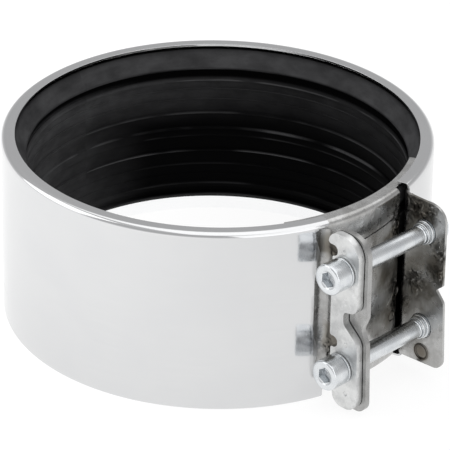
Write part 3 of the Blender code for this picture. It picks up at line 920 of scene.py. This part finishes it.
def bend_path(side, gap_y, foot_end_deg):
    """Flat pattern to space for a lug. Along s the sheet is upright beyond the bend, then bent, then round.

    side is -1 for the lug at -Y, whose upright is hemmed double. The concave side of the bend looks
    away from the gap. w runs from the gap side, 0, to the far side, 1.
    """
    near = abs(gap_y)
    layer = near + (FOOT_SHEET if side < 0 else 0.0)
    outer_bend = BEND_RADIUS + FOOT_SHEET
    centre_y = layer + outer_bend
    reach = FOOT_OUTER_RADIUS + BEND_RADIUS
    foot = math.asin(centre_y / reach)
    centre_x = reach * math.cos(foot)
    turn = math.pi / 2.0 - foot
    bend_length = outer_bend * turn
    bend_s = centre_x
    foot_s = bend_s - bend_length
    inner_radius = FOOT_OUTER_RADIUS - FOOT_SHEET

    def mapping(s, z, w):
        if s >= bend_s:
            doubled = smooth_step(s, HEM_START_X, HEM_START_X + HEM_RAMP) if side < 0 else 1.0
            start = near + (layer - near) * (1.0 - doubled)
            return s, side * (start + (layer + FOOT_SHEET - start) * w), z
        if s >= foot_s:
            angle = -math.pi / 2.0 - (bend_s - s) / outer_bend
            radius = outer_bend - FOOT_SHEET * w
            return centre_x + radius * math.cos(angle), side * (centre_y + radius * math.sin(angle)), z
        angle = foot + (foot_s - s) / inner_radius
        radius = inner_radius + FOOT_SHEET * w
        return radius * math.cos(angle), side * radius * math.sin(angle), z

    foot_length = inner_radius * (math.radians(foot_end_deg) - foot)
    bend_cuts = [bend_s - bend_length * i / 10 for i in range(11)]
    foot_cuts = [foot_s - foot_length * i / 14 for i in range(1, 14)]
    hem_cuts = [HEM_START_X + HEM_RAMP * i / 3 for i in range(4)]
    return mapping, bend_cuts + foot_cuts + hem_cuts, foot_s - foot_length


def make_lug(name, node, side, gap_y, foot_end_deg, outline, hole_radius, steel):
    mapping, cuts, end_s = bend_path(side, gap_y, foot_end_deg)
    inside = outline[0][0]
    corners = [(end_s if x == inside else x, z, radius) for x, z, radius in outline]
    holes = [hole(SCREW_X, z, hole_radius) for z in SCREW_Z]
    mesh = prism(rounded_outline(corners), holes, cuts)
    lug = mapped(name, mesh, mapping, 0.5)
    dress(lug, steel, node)


def make_plate(name, node, outline, low_y, high_y, hole_radius, steel):
    holes = [hole(SCREW_X, z, hole_radius) for z in SCREW_Z]
    mesh = prism(rounded_outline(outline), holes, [])
    plate = mapped(name, mesh, lambda x, z, w: (x, low_y + (high_y - low_y) * w, z), 0.6)
    return dress(plate, steel, node)


def weld_ring(name, centre, normal, radius, width, height, steel):
    """A raised ring left by a plug or spot weld, with a shallow button in its middle."""
    columns = 36
    rings = [(-0.25, radius + width)]
    for i in range(9):
        angle = math.pi * i / 8
        rings.append((height * math.sin(angle), radius + width * math.cos(angle)))
    rings += [(height * 0.15, radius * 0.75), (height * 0.3, radius * 0.35)]
    ring = lathe(name, rings, columns, None, 40.0)
    turn = Vector(normal).to_track_quat("Z", "Y").to_matrix().to_4x4()
    ring.data.transform(Matrix.Translation(Vector(centre) * MM) @ turn)
    ring.data.materials.append(steel)
    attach(ring, "clamp")


def on_bridge(azimuth_deg, height):
    angle = math.radians(azimuth_deg)
    outward = Vector((math.cos(angle), math.sin(angle), 0.0))
    return tuple(outward * BRIDGE_RADIUS + Vector((0.0, 0.0, height))), tuple(outward)


def along_screw(side, y):
    """Place of a turned piece whose local +Z looks towards the screw heads, at -Y."""
    x, z = SCREW_AXES[side]
    turn = Matrix.Rotation(math.pi / 2.0, 4, "X")
    return Matrix.Translation(Vector((x, y, z)) * MM) @ turn


def hexagon(apothem):
    def reach(angle):
        return apothem / math.cos((angle + math.pi / 6.0) % (math.pi / 3.0) - math.pi / 6.0)

    return reach


def thread_rings():
    """Rings of the threaded length, from the tip up to the plain shank."""
    per_pitch = 10
    count = round((SHANK_LENGTH - PLAIN_LENGTH) / THREAD_PITCH * per_pitch)
    rings = [(-SHANK_LENGTH, THREAD_MINOR - 0.5)]
    for index in range(count + 1):
        depth = SHANK_LENGTH - index * THREAD_PITCH / per_pitch
        fade = smooth_step(depth, PLAIN_LENGTH, PLAIN_LENGTH + 2.0)
        tip = THREAD_MINOR - 0.1 + (SHANK_LENGTH - depth) * 0.8

        def reach(angle, depth=depth, fade=fade, tip=tip):
            phase = (depth / THREAD_PITCH + angle / (2.0 * math.pi)) % 1.0
            crest = min(1.0, max(0.0, 2.4 * abs(2.0 * phase - 1.0) - 0.7))
            threaded = THREAD_MINOR + (THREAD_MAJOR - THREAD_MINOR) * crest
            return min(tip, PLAIN_RADIUS + (threaded - PLAIN_RADIUS) * fade)

        rings.append((-depth, reach))
    return rings


def screw_rings():
    """A socket cap screw from its tip to the bottom of its hexagon socket."""
    edge = 0.9
    socket = hexagon(SOCKET_APOTHEM)
    rim = arc((HEAD_RADIUS - edge, HEAD_LENGTH - edge), edge, 0.0, 90.0, 6)
    under = [(0.0, PLAIN_RADIUS + 0.35), (0.0, HEAD_RADIUS - 0.35), (0.3, HEAD_RADIUS)]
    mouth = [
        (HEAD_LENGTH, SOCKET_APOTHEM + 1.3),
        (HEAD_LENGTH - 0.1, SOCKET_APOTHEM + 0.85),
        (HEAD_LENGTH - 0.45, SOCKET_APOTHEM + 0.5),
    ]
    walls = [(HEAD_LENGTH - 0.5 - (SOCKET_DEPTH - 0.5) * i / 4, socket) for i in range(5)]
    bottom = [(HEAD_LENGTH - SOCKET_DEPTH - 0.02, hexagon(SOCKET_APOTHEM - 0.12))]
    bottom += [(HEAD_LENGTH - SOCKET_DEPTH - 0.7, SOCKET_APOTHEM * 0.55)]
    return (
        thread_rings()
        + [(-PLAIN_LENGTH + 0.5, PLAIN_RADIUS), (-0.5, PLAIN_RADIUS)]
        + under
        + [(0.6, HEAD_RADIUS), (HEAD_LENGTH - 1.6, HEAD_RADIUS)]
        + [(height, radius) for radius, height in rim]
        + mouth
        + walls
        + bottom
    )


def make_fasteners(side, zinc):
    seat_y = span(f"{side}_screw")[0].y + HEAD_LENGTH
    screw = lathe(f"{side}_cap_screw", screw_rings(), 72, along_screw(side, seat_y), 42.0)
    dress(screw, zinc, f"{side}_screw", f"{side}_screw")

    low, high = span(f"{side}_washer")
    thick = high.y - low.y
    rim = 0.28
    bore = PLAIN_RADIUS + 0.3
    loop = (
        arc((WASHER_RADIUS - rim, thick - rim), rim, 90.0, 0.0, 3)
        + arc((WASHER_RADIUS - rim, rim), rim, 0.0, -90.0, 3)
        + arc((bore + rim, rim), rim, -90.0, -180.0, 3)
        + arc((bore + rim, thick - rim), rim, 180.0, 90.0, 3)
    )
    washer = ring_body(f"{side}_flat_washer", loop, 72, along_screw(side, high.y), 50.0)
    dress(washer, zinc, f"{side}_washer", f"{side}_washer")

    low, high = span(f"{side}_press_nut")
    flange_y = high.y - NUT_FLANGE
    nose = flange_y - low.y
    face = flange_y - RIGHT_LUG_GAP_Y
    bore = NUT_BORE_RADIUS
    loop = (
        [(bore + 0.3, nose)]
        + arc((4.3, nose - 0.35), 0.35, 90.0, 0.0, 4)
        + [(4.68, nose - 1.1), (4.3, nose - 1.45), (4.3, nose - 1.6)]
        + arc((4.72, face + 1.05), 0.42, 90.0, 0.0, 4)
        + [(5.12, face + 0.35), (4.75, face + 0.02)]
        + [(NUT_BODY_RADIUS, face - 0.02), (NUT_BODY_RADIUS, 0.0), (5.7, 0.0)]
        + arc((5.7, -0.3), 0.3, 90.0, 0.0, 3)
        + arc((5.6, -2.6), 0.4, 0.0, -90.0, 4)
        + [(bore + 0.5, -NUT_FLANGE), (bore, 0.5 - NUT_FLANGE), (bore, nose - 0.3)]
    )
    nut = ring_body(f"{side}_rivet_nut", loop, 72, along_screw(side, flange_y), 35.0)
    dress(nut, zinc, f"{side}_press_nut")


def punch(plate):
    """Shallow punch marks in the outer face of a plate."""
    for index, (x, z) in enumerate(PUNCH_MARKS):
        place = Matrix.Translation(Vector((x, LEFT_PLATE_LOW.y - 0.1, z)) * MM)
        bpy.ops.mesh.primitive_uv_sphere_add(segments=20, ring_count=12, radius=PUNCH_RADIUS * MM)
        tool = bpy.context.object
        tool.name = f"punch_{index}"
        tool.matrix_world = place @ Matrix.Diagonal((1.0, 0.75, 1.1, 1.0))
        tool.hide_render = True
        tool.hide_viewport = True
        cut = plate.modifiers.new("Punch mark", "BOOLEAN")
        cut.object = tool
        cut.operation = "DIFFERENCE"


def make_collar(steel):
    """The turned-up inner edge of the lower rim, clear of the bridging plate's tongues."""
    start = BRIDGE_TONGUE_END_DEG + COLLAR_GAP_DEG
    end = 360.0 + BRIDGE_START_DEG - COLLAR_GAP_DEG
    rise = COLLAR_HEIGHT - COLLAR_FOOT
    profile = [(CASING_LIP_RADIUS, COLLAR_FOOT + rise * row / 4) for row in range(5)]
    collar = band("lower_rim_collar", profile, lambda radius, height: (start, end), 240, -COLLAR_SHEET, 0.2)
    collar.data.materials.append(steel)
    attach(collar, "clamp")


def make_pieces():
    left_tint = tinted_stainless("tinted_stainless_left", 0.42, LEFT_HEAT, LEFT_SHADE_SPOTS)
    plug_ring = (PLUG_WELD, PLUG_WELD_RADIUS, 0.9)
    right_tint = tinted_stainless("tinted_stainless_right", 0.50, RIGHT_HEAT, RIGHT_SHADE_SPOTS, [plug_ring])
    spot_places = [on_bridge(*spot) for spot in SPOT_WELDS]
    bridge_tint = tinted_stainless(
        "tinted_stainless_bridge",
        0.52,
        [(on_bridge(BRIDGE_HEAT_DEG, height)[0], BRIDGE_HEAT_REACH) for height in BRIDGE_HEAT_HEIGHTS],
        [(on_bridge(BRIDGE_SHADE_DEG, height)[0], BRIDGE_SHADE_REACH) for height in BRIDGE_SHADE_HEIGHTS],
        [(place, SPOT_WELD_RADIUS, 0.7) for place, _ in spot_places],
    )
    zinc_plate = galvanised_steel()
    zinc = bright_zinc()

    make_casing(polished_stainless("polished_stainless", 0.675))
    # Much paler copy of the casing's steel (0.97 against 0.675): painted brightness, the white glare under
    # the rim put into its colour
    make_collar(polished_stainless("collar_steel_painted_bright", 0.97))
    make_bridge(bridge_tint)
    make_sleeve(black_rubber())
    make_lug(
        "left_lug", "left_lug_bracket", -1.0, LEFT_LUG_GAP_Y, LEFT_FOOT_END_DEG,
        LEFT_LUG_OUTLINE, CLEARANCE_RADIUS, left_tint,
    )
    make_lug(
        "right_lug", "right_lug_bracket", 1.0, RIGHT_LUG_GAP_Y, RIGHT_FOOT_END_DEG,
        RIGHT_LUG_OUTLINE, NUT_HOLE_RADIUS, right_tint,
    )
    clamp_plate = make_plate(
        "clamp_plate", "left_clamp_plate", CLAMP_PLATE_OUTLINE,
        LEFT_PLATE_LOW.y, LEFT_PLATE_HIGH.y, CLEARANCE_RADIUS, zinc_plate,
    )
    punch(clamp_plate)
    make_plate(
        "backing_plate", "right_backing_plate", BACKING_OUTLINE,
        BACKING_LOW.y, BACKING_HIGH.y, NUT_HOLE_RADIUS, zinc_plate,
    )
    weld_ring("plug_weld", PLUG_WELD, (0.0, -1.0, 0.0), PLUG_WELD_RADIUS, 0.55, 0.45, right_tint)
    for index, (place, outward) in enumerate(spot_places):
        weld_ring(f"spot_weld_{index}", place, outward, SPOT_WELD_RADIUS, 0.4, 0.25, bridge_tint)
    for side in SIDES:
        make_fasteners(side, zinc)


# ================================================================ studio
CAMERA_TARGET = (-0.0028, 0.0082, 0.0324)
CAMERA_AZIMUTH_DEG = 44.33
CAMERA_ELEVATION_DEG = 28.42
CAMERA_ROLL_DEG = 1.0
CAMERA_DISTANCE = 1.4
CAMERA_LENS = 264.1
FLOOR_GREY = 0.16
# Across the camera's first view: where the floor's glow starts and stops changing, then its strengths
FLOOR_GLOW = (-0.25, 0.15, 1.02, 0.86)


def make_camera():
    azimuth = math.radians(CAMERA_AZIMUTH_DEG)
    elevation = math.radians(CAMERA_ELEVATION_DEG)
    flat = math.cos(elevation)
    back = Vector((math.sin(azimuth) * flat, -math.cos(azimuth) * flat, math.sin(elevation)))
    camera = bpy.data.objects.new("camera", bpy.data.cameras.new("camera"))
    bpy.context.scene.collection.objects.link(camera)
    turn = (-back).to_track_quat("-Z", "Y").to_matrix().to_4x4()
    roll = Matrix.Rotation(math.radians(CAMERA_ROLL_DEG), 4, "Z")
    camera.matrix_world = Matrix.Translation(Vector(CAMERA_TARGET) + back * CAMERA_DISTANCE) @ turn @ roll
    camera.data.lens = CAMERA_LENS
    camera.data.clip_start = 0.05
    camera.data.clip_end = 50.0
    bpy.context.scene.camera = camera


def make_floor():
    """A grey floor made nearly white by its own glow, which is stronger on the camera's left."""
    bpy.ops.mesh.primitive_plane_add(size=16.0, location=(0.0, 0.0, 0.0))
    floor = bpy.context.object
    floor.name = "floor"
    material = bpy.data.materials.new("pale_floor")
    material.use_nodes = True
    tree = material.node_tree
    shader = tree.nodes["Principled BSDF"]
    shader.inputs["Base Color"].default_value = (FLOOR_GREY, FLOOR_GREY, FLOOR_GREY, 1.0)
    shader.inputs["Roughness"].default_value = 0.9
    shader.inputs["Specular IOR Level"].default_value = 0.0
    shader.inputs["Emission Color"].default_value = (1.0, 1.0, 1.0, 1.0)
    place = tree.nodes.new("ShaderNodeNewGeometry")
    across = tree.nodes.new("ShaderNodeVectorMath")
    across.operation = "DOT_PRODUCT"
    azimuth = math.radians(CAMERA_AZIMUTH_DEG)
    across.inputs[1].default_value = (math.cos(azimuth), math.sin(azimuth), 0.0)
    glow = tree.nodes.new("ShaderNodeMapRange")
    glow.interpolation_type = "SMOOTHSTEP"
    for socket, number in zip(list(glow.inputs)[1:5], FLOOR_GLOW):
        socket.default_value = number
    tree.links.new(place.outputs["Position"], across.inputs[0])
    tree.links.new(across.outputs["Value"], glow.inputs[0])
    tree.links.new(glow.outputs[0], shader.inputs["Emission Strength"])
    floor.data.materials.append(material)


def make_world():
    """A pale tent, palest at the horizon."""
    world = bpy.data.worlds.new("studio")
    world.use_nodes = True
    tree = world.node_tree
    background = tree.nodes["Background"]
    coordinates = tree.nodes.new("ShaderNodeTexCoord")
    parts = tree.nodes.new("ShaderNodeSeparateXYZ")
    tree.links.new(coordinates.outputs["Generated"], parts.inputs[0])
    ramp = tree.nodes.new("ShaderNodeValToRGB")
    stops = ((0.0, 0.82), (0.12, 0.72), (0.40, 0.52), (0.75, 0.60), (1.0, 0.72))
    ramp.color_ramp.elements[0].position = stops[0][0]
    ramp.color_ramp.elements[1].position = stops[-1][0]
    for position, _ in stops[1:-1]:
        ramp.color_ramp.elements.new(position)
    for element, (_, grey) in zip(ramp.color_ramp.elements, stops):
        element.color = (grey, grey, grey * 1.01, 1.0)
    tree.links.new(parts.outputs[2], ramp.inputs[0])
    tree.links.new(ramp.outputs[0], background.inputs[0])
    bpy.context.scene.world = world


def add_softbox(name, place, size, power):
    light = bpy.data.lights.new(name, "AREA")
    light.shape = "RECTANGLE"
    light.size, light.size_y = size
    light.energy = power
    obj = bpy.data.objects.new(name, light)
    bpy.context.scene.collection.objects.link(obj)
    obj.location = place
    obj.rotation_euler = (Vector((0.0, 0.0, 0.04)) - Vector(place)).to_track_quat("-Z", "Y").to_euler()


def make_studio():
    make_camera()
    make_floor()
    make_world()
    add_softbox("overhead", (0.2, 0.3, 1.8), (3.0, 2.4), 17.0)
    add_softbox("left_front", (-1.3, -1.2, 1.1), (1.7, 1.7), 10.0)
    add_softbox("right_front", (1.6, -0.4, 0.7), (1.3, 1.4), 5.0)
    bpy.context.scene.view_settings.view_transform = "Standard"


make_studio()
make_pieces()
